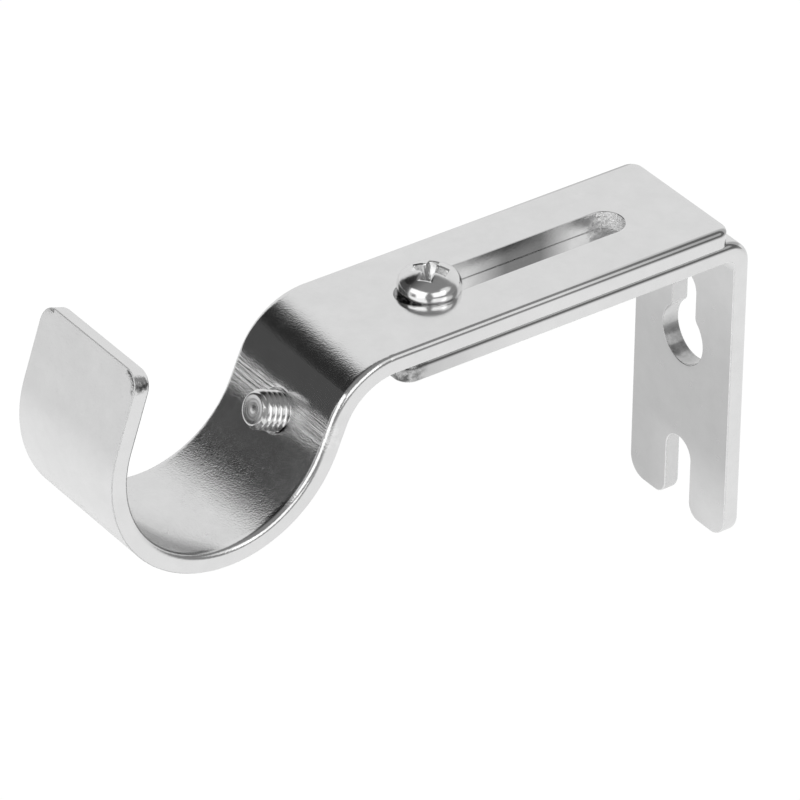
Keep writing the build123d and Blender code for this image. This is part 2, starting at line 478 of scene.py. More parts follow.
def draw_keyhole(blank):
    """Draw the round hole and its neck, blended where they meet."""
    blend_x = NECK_HALF + BLEND_R
    blend_up = math.sqrt((KEYHOLE_R + BLEND_R) ** 2 - blend_x ** 2)
    lean = math.degrees(math.atan2(blend_up, blend_x))
    blend_at = KEYHOLE_AT + blend_up
    tip = pen_line(blank, pen_down(blank, NECK_HALF, blend_at), NECK_HALF, NECK_SEAT)
    tip = pen_arc(blank, tip, 0, NECK_SEAT, 180, END_STEPS)
    tip = pen_line(blank, tip, -NECK_HALF, blend_at)
    tip = pen_arc(blank, tip, -blend_x, blend_at, -lean, BLEND_STEPS)
    tip = pen_arc(blank, tip, 0, KEYHOLE_AT, 180 + 2 * lean, KEYHOLE_STEPS)
    pen_arc(blank, tip, blend_x, blend_at, -lean, BLEND_STEPS)


wall_table = bend_table(WALL_START, (0, 1), WALL_RUNS)
CLAMP_ALONG = wall_table[2][0] + wall_table[2][1].x - CLAMP_Y
wall = bmesh.new()
wall_length = sum(run_length(*run) for run in WALL_RUNS)
draw_notched_strip(wall, WALL_WIDTH, wall_length, PLATE_CORNER, LEG_CORNER)
draw_keyhole(wall)
draw_round_hole(wall, CLAMP_ALONG, CLAMP_HOLE_R)
print("wall strip blank", len(wall.verts), "points, clamp hole at", round(CLAMP_ALONG, 3))

# %% Make the wall strip from its blank


def at_wall_hole(point):
    """Whether a point is on the keyhole's or the clamp hole's rim."""
    keyhole_from = KEYHOLE_AT - KEYHOLE_R - MERGE
    keyhole_to = NECK_SEAT + NECK_HALF + MERGE
    in_keyhole = abs(point.x) < KEYHOLE_R + MERGE and keyhole_from < point.y < keyhole_to
    return in_keyhole or math.hypot(point.x, point.y - CLAMP_ALONG) < CLAMP_HOLE_R + MERGE


def at_punched(point):
    """Whether a point is on the wall of a wall screw's hole or of the notch."""
    in_mouth = abs(point.x) < NOTCH_HALF + NOTCH_MOUTH_R - MERGE
    in_notch = in_mouth and MERGE < point.y < NOTCH_SEAT + NOTCH_HALF + MERGE
    return in_notch or at_wall_hole(point)


def at_wall_side(point):
    """Whether a point is on the wall strip's outer outline or notch."""
    return not at_wall_hole(point)


fill_sheet(wall)
score(wall, WALL_RUNS)
thicken(wall, WALL_THICK)
mark_punched(wall, at_punched)
roll_edges(wall, WALL_THICK, at_wall_side, at_wall_hole)
bend(wall, wall_table)
wall_strip = finish_piece(wall, "wall_strip", "wall_bracket")

# %% [markdown]
# ## The screw heads
# Both screws have pan heads. A head is turned, so its side view is drawn with the pen and spun round. The
# cross recess is pressed in by a punch while the steel is cold, which leaves smooth walls and a slightly
# rolled mouth. We do as the punch does: score the top along the punch's edges, then push the vertices down.

# %% Turn a pan head
HEAD_R = 4.0
HEAD_HEIGHT = 3.1
HEAD_RIM_R = 0.4
HEAD_RIM_TOP = 0.6
SHOULDER_R = 1.75
CROWN_R = 5.5
SHOULDER_TURN = 53.13
RIM_STEPS = 6
SHOULDER_STEPS = 14
CROWN_STEPS = 22
HEAD_STEPS = 96
UPRIGHT_TURN = Matrix.Rotation(math.pi / 2, 3, "X")


def turn_head():
    """Draw the head's side view and spin it into a solid of revolution."""
    head = bmesh.new()
    tip = pen_line(head, pen_down(head, 0, 0), HEAD_R - HEAD_RIM_R, 0)
    tip = pen_arc(head, tip, HEAD_R - HEAD_RIM_R, HEAD_RIM_R, 90, RIM_STEPS)
    tip = pen_line(head, tip, HEAD_R, HEAD_RIM_TOP)
    tip = pen_arc(head, tip, HEAD_R - SHOULDER_R, HEAD_RIM_TOP, SHOULDER_TURN, SHOULDER_STEPS)
    pen_arc(head, tip, 0, HEAD_HEIGHT - CROWN_R, 90 - SHOULDER_TURN, CROWN_STEPS)
    bmesh.ops.rotate(head, verts=head.verts[:], cent=(0, 0, 0), matrix=UPRIGHT_TURN)
    bmesh.ops.spin(head, geom=head.verts[:] + head.edges[:], cent=(0, 0, 0), axis=(0, 0, 1),
                   angle=math.tau, steps=HEAD_STEPS, use_merge=True)
    bmesh.ops.remove_doubles(head, verts=head.verts[:], dist=MERGE)
    bmesh.ops.recalc_face_normals(head, faces=head.faces[:])
    return head


sample = turn_head()
print("pan head", len(sample.faces), "faces")
sample.free()

# %% Press the cross recess
WING_REACH = 2.2
WING_FOOT = 0.9
WING_HALF = 0.66
WING_FOOT_HALF = 0.28
HUB_R = 1.15
HUB_FOOT_R = 0.5
RECESS_DEPTH = 2.1
MOUTH_ROLL = 0.4
PUNCH_LINES = (0.28, 0.37, 0.47, 0.57, 0.66, 0.74, 0.82, 0.90, 0.98, 1.06)
PUNCH_ENDS = (1.33, 1.76, 2.2, 2.3, 2.4, 2.5, 2.6)
SCORED_R = 2.9


def wall_share(mouth, foot, distance):
    """How far down a sloping wall a point lies: 0 at the mouth, 1 at the foot, negative outside."""
    return (mouth - distance) / (mouth - foot)


def punch_depth(across, along):
    """Depth of the recess under a point of the head."""
    shares = [wall_share(HUB_R, HUB_FOOT_R, math.hypot(across, along))]
    for lengthwise, sideways in ((abs(across), abs(along)), (abs(along), abs(across))):
        end = wall_share(WING_REACH, WING_FOOT, lengthwise)
        flank = wall_share(WING_HALF, WING_FOOT_HALF, sideways)
        shares.append(min(end, flank))
    return RECESS_DEPTH * min(1.0, max(shares))


def outside_mouth(across, along):
    """Distance from a point outside the recess to its mouth."""
    first = max(abs(across) - WING_REACH, abs(along) - WING_HALF)
    second = max(abs(along) - WING_REACH, abs(across) - WING_HALF)
    return min(first, second, math.hypot(across, along) - HUB_R)


def crown_height(radius):
    """Height of the crown at a distance from the head's axis."""
    return HEAD_HEIGHT - CROWN_R + math.sqrt(CROWN_R ** 2 - radius ** 2)


def press_recess(head):
    """Score the crown along the punch's edges and push the recess in."""
    crown_edge = CROWN_R * math.cos(math.radians(SHOULDER_TURN))
    for side in (Vector((1, 0, 0)), Vector((0, 1, 0))):
        for offset in PUNCH_LINES + PUNCH_ENDS:
            for place_on_side in (offset, -offset):
                crown = [face for face in head.faces if face.calc_center_median().xy.length < SCORED_R]
                crown = [face for face in crown if face.calc_center_median().z > HEAD_RIM_TOP]
                bmesh.ops.bisect_plane(head, geom=parts_of(crown), dist=MERGE,
                                       plane_co=side * place_on_side, plane_no=side)
    for vert in head.verts:
        radius = vert.co.xy.length
        if vert.co.z > HEAD_RIM_TOP and radius < crown_edge:
            depth = punch_depth(vert.co.x, vert.co.y)
            rolled = max(0.0, 1 - max(0.0, outside_mouth(vert.co.x, vert.co.y)) / MOUTH_ROLL)
            vert.co.z = crown_height(radius) - max(depth, 0.0) - MOUTH_ROLL * rolled ** 2 / 2


sample = turn_head()
press_recess(sample)
print("head with recess", len(sample.faces), "faces")
sample.free()

# %% [markdown]
# ## The threads
# A thread is one groove that climbs as it goes round. Spin can climb too: each of its steps may also move
# along the axis, so a short side view of one groove, spun through many turns, winds itself into a thread.
# The ends are cut square with bisect, the tip is turned down to a cone, and the end face is dished the
# way a cut-off blank looks, with a small pip left in the middle.

# %% Wind a thread
SHANK_LENGTH = 8.0
CLAMP_SCREW = {"head_scale": 1.0, "crest_r": 2.0, "tip_r": 1.6, "pitch": 0.7}
LOCKING_SCREW = {"head_scale": 9.5 / 8.0, "crest_r": 2.5, "tip_r": 2.0, "pitch": 0.8}
STEPS_PER_TURN = 48
CREST_FLAT = 0.03
THREAD_DEPTH = 0.58
TIP_SLOPE = 0.9
GROOVE = ((0.0, "root"), (0.10, "root"), (0.42, "flank"), (0.50, "crest"), (0.58, "flank"),
          (0.90, "root"), (1.0, "root"))


def wind_thread(length, crest_r, pitch):
    """A threaded shank from the tip at height zero up to a length."""
    radius = {"root": crest_r - THREAD_DEPTH * pitch, "flank": crest_r - CREST_FLAT, "crest": crest_r}
    shank = bmesh.new()
    tip = None
    for share, part in GROOVE:
        point = (radius[part], share * pitch - pitch)
        tip = pen_down(shank, *point) if tip is None else pen_line(shank, tip, *point)
    bmesh.ops.rotate(shank, verts=shank.verts[:], cent=(0, 0, 0), matrix=UPRIGHT_TURN)
    turns = math.ceil(length / pitch) + 2
    bmesh.ops.spin(shank, geom=shank.verts[:] + shank.edges[:], cent=(0, 0, 0), axis=(0, 0, 1),
                   dvec=(0, 0, pitch / STEPS_PER_TURN), angle=math.tau * turns, steps=STEPS_PER_TURN * turns)
    bmesh.ops.remove_doubles(shank, verts=shank.verts[:], dist=MERGE)
    for height, direction in ((0, -1), (length, 1)):
        everything = shank.verts[:] + shank.edges[:] + shank.faces[:]
        bmesh.ops.bisect_plane(shank, geom=everything, dist=MERGE, plane_co=(0, 0, height),
                               plane_no=(0, 0, direction), clear_outer=True)
    return shank


def turn_tip(shank, tip_r):
    """Turn the tip down to a cone."""
    for vert in shank.verts:
        radius = vert.co.xy.length
        largest = tip_r + TIP_SLOPE * vert.co.z
        if radius > largest:
            vert.co.xy *= largest / radius


print("grooves are", THREAD_DEPTH, "of the pitch deep")

# %% Dish the tip
TIP_RINGS = ((0.93, -0.03), (0.84, -0.03), (0.76, 0.03), (0.66, 0.05), (0.60, 0.04), (0.52, 0.06),
             (0.42, 0.07), (0.37, 0.06), (0.30, 0.07), (0.23, 0.06), (0.15, 0.01), (0.07, 0.0))


def close_ends(shank, tip_r):
    """Dish the end face of the tip ring by ring, and close both ends."""
    ring = [edge for edge in shank.edges if edge.is_boundary and edge.verts[0].co.z < MERGE]
    for share, rise in TIP_RINGS:
        made = bmesh.ops.extrude_edge_only(shank, edges=ring)["geom"]
        ring = [part for part in made if isinstance(part, bmesh.types.BMEdge)]
        for vert in [part for part in made if isinstance(part, bmesh.types.BMVert)]:
            vert.co.xy = vert.co.xy.normalized() * tip_r * share
            vert.co.z = rise
    open_edges = [edge for edge in shank.edges if edge.is_boundary]
    bmesh.ops.holes_fill(shank, edges=open_edges, sides=0)
    bmesh.ops.recalc_face_normals(shank, faces=shank.faces[:])


sample = wind_thread(SHANK_LENGTH, LOCKING_SCREW["crest_r"], LOCKING_SCREW["pitch"])
turn_tip(sample, LOCKING_SCREW["tip_r"])
close_ends(sample, LOCKING_SCREW["tip_r"])
print("thread", len(sample.faces), "faces")
sample.free()

# %% [markdown]
# ## Two screws
# A screw is a head with its shank below it. The clamp screw stands on the arm over the tapped hole, with
# its recess turned as the photograph shows, and clears the arm by a hair, so that the arm can slide under
# it. The locking screw is one size larger. It goes through the wall of the cup at a right angle, with its
# tip inside the cup, so its place comes from the arm's bend table.

# %% Assemble the screws
LOCK_PROUD = 3.6
CLAMP_RECESS_TURN = math.radians(40)
INTO_HEAD = 0.3
SEAT_GAP = 0.01


def pan_head_screw(head_scale, crest_r, tip_r, pitch):
    """A screw that stands on its head's underside, with its shank pointing down."""
    screw = turn_head()
    press_recess(screw)
    bmesh.ops.scale(screw, verts=screw.verts[:], vec=(head_scale, head_scale, head_scale))
    shank = wind_thread(SHANK_LENGTH + INTO_HEAD, crest_r, pitch)
    turn_tip(shank, tip_r)
    close_ends(shank, tip_r)
    bmesh.ops.translate(shank, verts=shank.verts[:], vec=(0, 0, -SHANK_LENGTH))
    shank_mesh = bpy.data.meshes.new("shank")
    shank.to_mesh(shank_mesh)
    shank.free()
    screw.from_mesh(shank_mesh)
    bpy.data.meshes.remove(shank_mesh)
    return screw


clamp = pan_head_screw(**CLAMP_SCREW)
clamp_place = Matrix.Translation((0, CLAMP_Y, ARM_START[1] + SEAT_GAP))
clamp.transform(clamp_place @ Matrix.Rotation(CLAMP_RECESS_TURN, 4, "Z"))
clamp_pan_screw = finish_piece(clamp, "clamp_pan_screw", "clamp_screw")

lock_run = find_run(arm_table, LOCK_ALONG)
lock_point, lock_heading = on_run(lock_run, LOCK_ALONG - lock_run[0], 0)
lock_out = turned(lock_heading, math.pi / 2)
out = Vector((0, lock_out.x, lock_out.y))
lock_axes = Matrix((Vector((1, 0, 0)), out.cross(Vector((1, 0, 0))), out)).transposed().to_4x4()
lock_seat = Vector((0, lock_point.x, lock_point.y)) + out * (SHANK_LENGTH - LOCK_PROUD)
lock = pan_head_screw(**LOCKING_SCREW)
lock.transform(Matrix.Translation(lock_seat) @ lock_axes)
locking_pan_screw = finish_piece(lock, "locking_pan_screw", "locking_screw")

# %% [markdown]
# ## Bright nickel plating
# The plating is bright, but not a perfect mirror: the strip under it was rolled and barrel polished, so the
# brightness wanders a little, the gloss has faint clouds, and a very fine grain breaks up the reflections.
# Noise on the object's own coordinates gives all three, each at its own scale. Every finish below is a chain
# of such values, so a few helpers that add nodes keep the chains short.

# %% Helpers that build shader chains


def add_node(tree, kind, **settings):
    """Add a shader node with its settings."""
    node = tree.nodes.new(kind)
    for name, value in settings.items():
        setattr(node, name, value)
    return node


def noise_on(tree, coordinates, scale, detail, fine_share=0.5, stretch=(1, 1, 1)):
    """Noise on the object's coordinates, stretched along one axis if wanted."""
    mapping = add_node(tree, "ShaderNodeMapping")
    mapping.inputs["Scale"].default_value = stretch
    noise = add_node(tree, "ShaderNodeTexNoise")
    noise.inputs["Scale"].default_value = scale
    noise.inputs["Detail"].default_value = detail
    noise.inputs["Roughness"].default_value = fine_share
    tree.links.new(coordinates, mapping.inputs["Vector"])
    tree.links.new(mapping.outputs["Vector"], noise.inputs["Vector"])
    return noise.outputs["Fac"]


def remap(tree, value, low, high, start=0.3, end=0.7):
    """Spread a range of values over a new range."""
    node = add_node(tree, "ShaderNodeMapRange")
    node.inputs["From Min"].default_value = start
    node.inputs["From Max"].default_value = end
    node.inputs["To Min"].default_value = low
    node.inputs["To Max"].default_value = high
    tree.links.new(value, node.inputs["Value"])
    return node.outputs["Result"]


def combine(tree, operation, *values):
    """Several values brought together by one operation, some of which may be plain numbers."""
    total = values[0]
    for value in values[1:]:
        node = add_node(tree, "ShaderNodeMath", operation=operation)
        for socket, source in zip(node.inputs, (total, value)):
            if isinstance(source, float):
                socket.default_value = source
            else:
                tree.links.new(source, socket)
        total = node.outputs["Value"]
    return total


def times(tree, *values):
    """The product of several values."""
    return combine(tree, "MULTIPLY", *values)


def plus(tree, *values):
    """The sum of several values."""
    return combine(tree, "ADD", *values)


def without(tree, share):
    """What is left of one when a share is taken away."""
    return combine(tree, "SUBTRACT", 1.0, share)


def axis_of(tree, coordinates, axis):
    """One coordinate by itself."""
    split = add_node(tree, "ShaderNodeSeparateXYZ")
    tree.links.new(coordinates, split.inputs["Vector"])
    return split.outputs[axis]


def distance_from(tree, coordinates, point, axes=(1, 1, 1)):
    """Distance in metres from a point in millimetres, in the side view if one axis is left out."""
    flat = add_node(tree, "ShaderNodeVectorMath", operation="MULTIPLY")
    flat.inputs[1].default_value = axes
    tree.links.new(coordinates, flat.inputs[0])
    away = add_node(tree, "ShaderNodeVectorMath", operation="DISTANCE")
    away.inputs[1].default_value = [value * axis * MM for value, axis in zip(point, axes)]
    tree.links.new(flat.outputs["Vector"], away.inputs[0])
    return away.outputs["Value"]


print("helpers ready")

# %% [markdown]
# ## One metal, several finishes
# A finish needs three values at every point: how bright the metal is, how rough, and how high its fine
# relief stands. The base gives all three for plain plating, and each piece then changes them by place.

# %% The base of every finish
NICKEL = (0.815, 0.875)
CLOUDS = (260, 9, 0.72)
GLOSS = (0.12, 0.17)
GLOSS_CLOUDS = (420, 5)
FINE_GRAIN = (4500, 3)


def metal(name):
    """A metal material: itself, its tree and the object's coordinates."""
    material = bpy.data.materials.new(name)
    material.use_nodes = True
    tree = material.node_tree
    tree.nodes["Principled BSDF"].inputs["Metallic"].default_value = 1.0
    coordinates = add_node(tree, "ShaderNodeTexCoord").outputs["Object"]
    return material, tree, coordinates


def strip_base(tree, coordinates):
    """Brightness, gloss and fine grain of a plated strip."""
    brightness = remap(tree, noise_on(tree, coordinates, *CLOUDS), *NICKEL)
    gloss = remap(tree, noise_on(tree, coordinates, *GLOSS_CLOUDS), *GLOSS)
    return brightness, gloss, noise_on(tree, coordinates, *FINE_GRAIN)


def plate(tree, brightness, roughness, relief, depth):
    """Give a metal its brightness, roughness and fine relief, which is as deep as said, in millimetres."""
    shader = tree.nodes["Principled BSDF"]
    bump = add_node(tree, "ShaderNodeBump")
    bump.inputs["Distance"].default_value = depth * MM
    tree.links.new(brightness, shader.inputs["Base Color"])
    tree.links.new(roughness, shader.inputs["Roughness"])
    tree.links.new(relief, bump.inputs["Height"])
    tree.links.new(bump.outputs["Normal"], shader.inputs["Normal"])


def bare_metal(tree, share):
    """Let the share of bright metal change from place to place."""
    tree.links.new(share, tree.nodes["Principled BSDF"].inputs["Metallic"])


print("nickel from", NICKEL[0], "to", NICKEL[1])

# %% Plate the screws
SCREW_CLOUDS = (500, 6, 0.6)
SCREW_GLOSS = (0.14, 0.20)
SCREW_GLOSS_CLOUDS = (900, 5)
SCREW_GRAIN = (1800, 3)
SCREW_RELIEF = 0.006
CUT_END = (1.7 * MM, 2.1 * MM)
CUT_END_ROUGH = 0.12
tip_point = lock_point - lock_out * LOCK_PROUD

screw_plating, tree, coordinates = metal("screw_plating_bright")
from_tip = distance_from(tree, coordinates, (0, tip_point.x, tip_point.y))
brightness = remap(tree, noise_on(tree, coordinates, *SCREW_CLOUDS), *NICKEL)
gloss = remap(tree, noise_on(tree, coordinates, *SCREW_GLOSS_CLOUDS), *SCREW_GLOSS)
roughness = plus(tree, gloss, remap(tree, from_tip, CUT_END_ROUGH, 0, *CUT_END))
plate(tree, brightness, roughness, noise_on(tree, coordinates, *SCREW_GRAIN), SCREW_RELIEF)
for piece in (clamp_pan_screw, locking_pan_screw):
    piece.data.materials.append(screw_plating)
print("screws plated")

# %% [markdown]
# ## Worn places
# Two kinds of wear show on both strips. The rolled edges grow duller towards the wall, and one corner of
# each strip has a dark rough mark. Both are shares between 0 and 1 that depend on the place.

# %% Pick out rolled edges and marks
ARM_ROLLED = {"half": (9.1, 9.4), "height": (25.5, 25.8), "along": (-30, -8)}
LEG_ROLLED = {"half": (8.9, 9.2), "height": (23.0, 23.3), "along": (-90, -80)}
ROLLED_DULL = 0.55
BLOTCH_DARK = 0.75
BLOTCH_EDGE = (0.4, 0.6)


def rolled_edge(tree, coordinates, where):
    """Brightness of a level run's rolled upper edges, which falls towards the wall."""
    across = axis_of(tree, coordinates, "X")
    squares = [(value * MM) ** 2 for value in where["half"]]
    near_side = remap(tree, times(tree, across, across), 0, 1, *squares)
    on_top = remap(tree, axis_of(tree, coordinates, "Z"), 0, 1, *[value * MM for value in where["height"]])
    along = remap(tree, axis_of(tree, coordinates, "Y"), 0, 1, *[value * MM for value in where["along"]])
    return remap(tree, times(tree, near_side, on_top, along), 1, ROLLED_DULL, 0, 1)


def blotched(tree, mark, spots):
    """A mark broken up into dark blotches."""
    return times(tree, mark, remap(tree, spots, 0, BLOTCH_DARK, *BLOTCH_EDGE))


print("rolled edges down to", ROLLED_DULL)

# %% [markdown]
# ## The arm's finish
# The polish doesn't reach everywhere. Inside the cup the strip stays satin and grainy. On the short flat run
# above the locking screw it was dressed across its width after bending, so fine bright lines run across it,
# with a ragged edge. The near corner of the lip has a dark rough mark where it hung in the plating bath.
# Inside the cup painted shade makes the plating greyer at the near foot of the lip. Neither the bend nor the
# lip is quite true: the bend is twisted by a hair and the lip is slightly hollow. Only the reflections show
# it, so both are relief.

# %% Find the arm's places
DRESSED_ABOVE = 1.3
DRESSED_EDGE = (0.8 * MM, 1.9 * MM)
RAGGED = 0.9 * MM
RAGGED_NOISE = (700, 5, 0.6, (0.2, 1, 1))
SATIN_EDGE = (-68 * MM, -63 * MM)
CUP_INSIDE = (14.3 * MM, 14.6 * MM)
CUP_EDGE = (8.6 * MM, 9.2 * MM)
# Painted shade inside the cup at the near foot of the lip: where it lies and how dark it is.
LIP_FOOT_SHADE = (87.0 * MM, 91.5 * MM)
LIP_FOOT_SHADE_SHARE = 0.42
BEND_EDGE = (-56 * MM, -53.5 * MM)
LIP_AT = (-85 * MM, -82 * MM)
LIP_STAIN_AT = (9.8, -89.9, 35.2)
LIP_STAIN = (0.3 * MM, 0.8 * MM)
IN_SIDE_VIEW = (0, 1, 1)
IN_FRONT_VIEW = (1, 0, 1)
cup_run = arm_table[3]
pole_at = cup_run[1] + turned(cup_run[2], -math.pi / 2) * cup_run[3]
dressed_at = lock_point - lock_heading * DRESSED_ABOVE

arm_plating, tree, coordinates = metal("strip_plating_bright")
across, along, height = [axis_of(tree, coordinates, axis) for axis in "XYZ"]
ragged = remap(tree, noise_on(tree, coordinates, *RAGGED_NOISE), -RAGGED, RAGGED)
from_dressed = distance_from(tree, coordinates, (0, dressed_at.x, dressed_at.y), IN_SIDE_VIEW)
dressed = remap(tree, plus(tree, from_dressed, ragged), 1, 0, *DRESSED_EDGE)
from_pole = distance_from(tree, coordinates, (0, pole_at.x, pole_at.y), IN_SIDE_VIEW)
in_cup = remap(tree, from_pole, 1, 0, *CUP_INSIDE)
satin = times(tree, remap(tree, along, 1, 0, *SATIN_EDGE), in_cup, remap(tree, across, 1, 0, *CUP_EDGE))
# Painted shade inside the cup, darker towards the near foot of the lip.
lip_foot_shade = remap(tree, combine(tree, "SUBTRACT", across, along), 0, LIP_FOOT_SHADE_SHARE, *LIP_FOOT_SHADE)
bent = remap(tree, along, 1, 0, *BEND_EDGE)
on_lip = remap(tree, along, 1, 0, *LIP_AT)
stain = remap(tree, distance_from(tree, coordinates, LIP_STAIN_AT, IN_FRONT_VIEW), 1, 0, *LIP_STAIN)
print("pole at", [round(value, 2) for value in pole_at])

# %% Bring the arm's finish together
DRESSED_BRIGHT = 1.15
DRESSED_ROUGH = (0.03, 0.15)
SATIN_ROUGH = (0.06, 0.12)
SPOTS = (1600, 3, 0.6)
LINES = (2600, 4, 0.6)
RUN_ACROSS = (0.05, 1, 1)
RUN_ALONG = (1, 0.05, 0.05)
HEIGHTS = {"grain": 0.3, "line": 6, "stain": 4.0, "bend": 1.8, "weave": 0.75, "weave_grain": 4.0}
TWIST = 4.4
TWIST_EDGE = (-61 * MM, -54.5 * MM)
LIP_LEAN = 35
LIP_HEIGHT = (19 * MM, 40 * MM)
ARM_RELIEF = 0.008
far_edge = -ARM_WIDTH / 2 * MM

plain, gloss, fine = strip_base(tree, coordinates)
spots = noise_on(tree, coordinates, *SPOTS)
lines = noise_on(tree, coordinates, *LINES, RUN_ACROSS)
# The brightness takes off the painted shade at the lip's foot inside the cup.
brightness = times(tree, plain, without(tree, blotched(tree, stain, spots)),
                   without(tree, times(tree, lip_foot_shade, in_cup)),
                   remap(tree, dressed, 1, DRESSED_BRIGHT, 0, 1), rolled_edge(tree, coordinates, ARM_ROLLED))
roughness = plus(tree, gloss, times(tree, dressed, remap(tree, lines, *DRESSED_ROUGH)),
                 times(tree, satin, remap(tree, spots, *SATIN_ROUGH)))
weave = plus(tree, lines, noise_on(tree, coordinates, *LINES, RUN_ALONG),
             times(tree, fine, HEIGHTS["weave_grain"]))
twist = times(tree, remap(tree, along, TWIST, 0, *TWIST_EDGE),
              remap(tree, across, 0, ARM_WIDTH, far_edge, -far_edge))
relief = plus(tree, times(tree, fine, HEIGHTS["grain"]),
              times(tree, dressed, remap(tree, lines, -HEIGHTS["line"], HEIGHTS["line"], 0, 1)),
              times(tree, stain, spots, HEIGHTS["stain"]), times(tree, bent, fine, HEIGHTS["bend"]),
              times(tree, satin, weave, HEIGHTS["weave"]), twist,
              times(tree, remap(tree, height, 0, LIP_LEAN, *LIP_HEIGHT), on_lip))
plate(tree, brightness, roughness, relief, ARM_RELIEF)
arm_strip.data.materials.append(arm_plating)
print("arm plated")

# %% [markdown]
# ## The wall strip's finish
# The wall strip is plated with the arm. Inside its fold the faces are softer and carry painted shade, which
# is darkest in the corner and clears up towards the notch. Painted shade also darkens the leg towards its
# free end, where the near corner is rough and stained.

# %% Plate the wall strip
FOLD_FACE = (-2.45 * MM, -2.3 * MM)
FOLD_TOP = (19.5 * MM, 20.5 * MM)
# Painted shade inside the fold: how dark it gets.
FOLD_SHADE = (0.05, 0.31)
FOLD_ROUGH = 0.15
CLEAR_LOW = (-19 * MM, -9 * MM)
CLEAR_RIGHT = (-6 * MM, 8 * MM)
CLEAR_TOP = (4 * MM, 18 * MM)
CLEAR_TOP_SHARE = 0.5
LEG_END = (-52 * MM, -35 * MM)
# Painted shade that darkens the leg towards its free end.
LEG_END_SHADE = 0.72
LEG_STAIN_AT = (8.6, -51.6, 22.6)
LEG_STAIN = (1.2 * MM, 3.0 * MM)
LEG_SPOTS = (900, 4, 0.6)
LEG_STAIN_HEIGHT = 90.0
WALL_RELIEF = 0.003

wall_plating, tree, coordinates = metal("wall_plating_bright")
across, along, height = [axis_of(tree, coordinates, axis) for axis in "XYZ"]
plain, gloss, fine = strip_base(tree, coordinates)
inside = times(tree, remap(tree, along, 1, 0, *FOLD_FACE), remap(tree, height, 1, 0, *FOLD_TOP))
# Painted shade inside the fold, darkest in the corner, clearing up towards the notch.
fold_shade = combine(tree, "MAXIMUM", remap(tree, height, *FOLD_SHADE, *CLEAR_LOW),
                 remap(tree, across, *reversed(FOLD_SHADE), *CLEAR_RIGHT))
fold_shade = times(tree, fold_shade, remap(tree, height, 1, CLEAR_TOP_SHARE, *CLEAR_TOP), inside)
spots = noise_on(tree, coordinates, *LEG_SPOTS)
stain = remap(tree, distance_from(tree, coordinates, LEG_STAIN_AT), 1, 0, *LEG_STAIN)
# The brightness takes off the painted shade in the fold and towards the leg's free end.
brightness = times(tree, plain, without(tree, fold_shade), remap(tree, along, LEG_END_SHADE, 1, *LEG_END),
                   without(tree, blotched(tree, stain, spots)), rolled_edge(tree, coordinates, LEG_ROLLED))
roughness = plus(tree, gloss, times(tree, inside, FOLD_ROUGH))
relief = plus(tree, fine, times(tree, stain, spots, LEG_STAIN_HEIGHT))
plate(tree, brightness, roughness, relief, WALL_RELIEF)
wall_strip.data.materials.append(wall_plating)
print("wall strip plated")

# %% [markdown]
# ## Punched walls
# Inside the slot, the keyhole and the notch nobody polishes. The steel is sheared there, so the plating
# lies on a rough wall. Painted shade darkens the middle of the long slot's walls and, in blotches, the foot
# of the keyhole. The slot's rear end is torn and opens upwards, so it catches the light.

# %% Find the painted shade and the torn end of the punched walls
# Painted shade in the middle of the long slot's walls.
SLOT_SHADE_FROM = (-34.5 * MM, -28.5 * MM)
SLOT_SHADE_TO = (-23.2 * MM, -18.4 * MM)
SLOT_SHADE_SHARE = 0.70
TORN_FROM = (-16.2 * MM, -14.2 * MM)
TORN_EDGE = 0.8 * MM
TORN_NOISE = (900, 4)
SLOT_END = (-10 * MM, -5 * MM)
# Painted shade, broken up in blotches, at the foot of the keyhole.
KEYHOLE_SHADE_AT = (-2.6, -1.2, 2.2)
KEYHOLE_SHADE = (1.5 * MM, 4.2 * MM)
KEYHOLE_SHADE_DARK = 0.75
KEYHOLE_SHADE_NOISE = (420, 6, 0.7)
KEYHOLE_SHADE_SHARE = (0.2, 1)

punched, tree, coordinates = metal("punched_wall")
along = axis_of(tree, coordinates, "Y")
# Painted shade darkening the middle of the slot's walls.
slot_shade = times(tree, remap(tree, along, 0, SLOT_SHADE_SHARE, *SLOT_SHADE_FROM), remap(tree, along, 1, 0, *SLOT_SHADE_TO))
# Painted shade in blotches at the foot of the keyhole.
keyhole_foot_shade = times(tree, remap(tree, distance_from(tree, coordinates, KEYHOLE_SHADE_AT), KEYHOLE_SHADE_DARK, 0, *KEYHOLE_SHADE),
               remap(tree, noise_on(tree, coordinates, *KEYHOLE_SHADE_NOISE), *KEYHOLE_SHADE_SHARE))
rough_noise = noise_on(tree, coordinates, *TORN_NOISE)
to_torn = plus(tree, along, remap(tree, rough_noise, -TORN_EDGE, TORN_EDGE))
torn = times(tree, remap(tree, to_torn, 0, 1, *TORN_FROM), remap(tree, along, 1, 0, *SLOT_END))
print("thin plating keeps", round(1 - SLOT_SHADE_SHARE, 2), "of its brightness")

# %% Plate the punched walls
MOTTLED = (0.95, 1.0)
MOTTLED_NOISE = (700, 6, 0.65)
MATT_FROM = (-17.0 * MM, -13.8 * MM)
MATT_METAL = 0.7
WALL_HOLES_DULL = 0.9
WALL_HOLES_METAL = 0.86
PUNCHED_ROUGH = (0.13, 0.22)
PUNCHED_GRAIN = (2200, 5, 0.6)
TORN_HEIGHT = (23.9 * MM, 26.4 * MM)
TORN_ROUGH = 14
TORN_LEAN = 62
PUNCHED_RELIEF = 0.008

mottled = remap(tree, noise_on(tree, coordinates, *MOTTLED_NOISE), *MOTTLED)
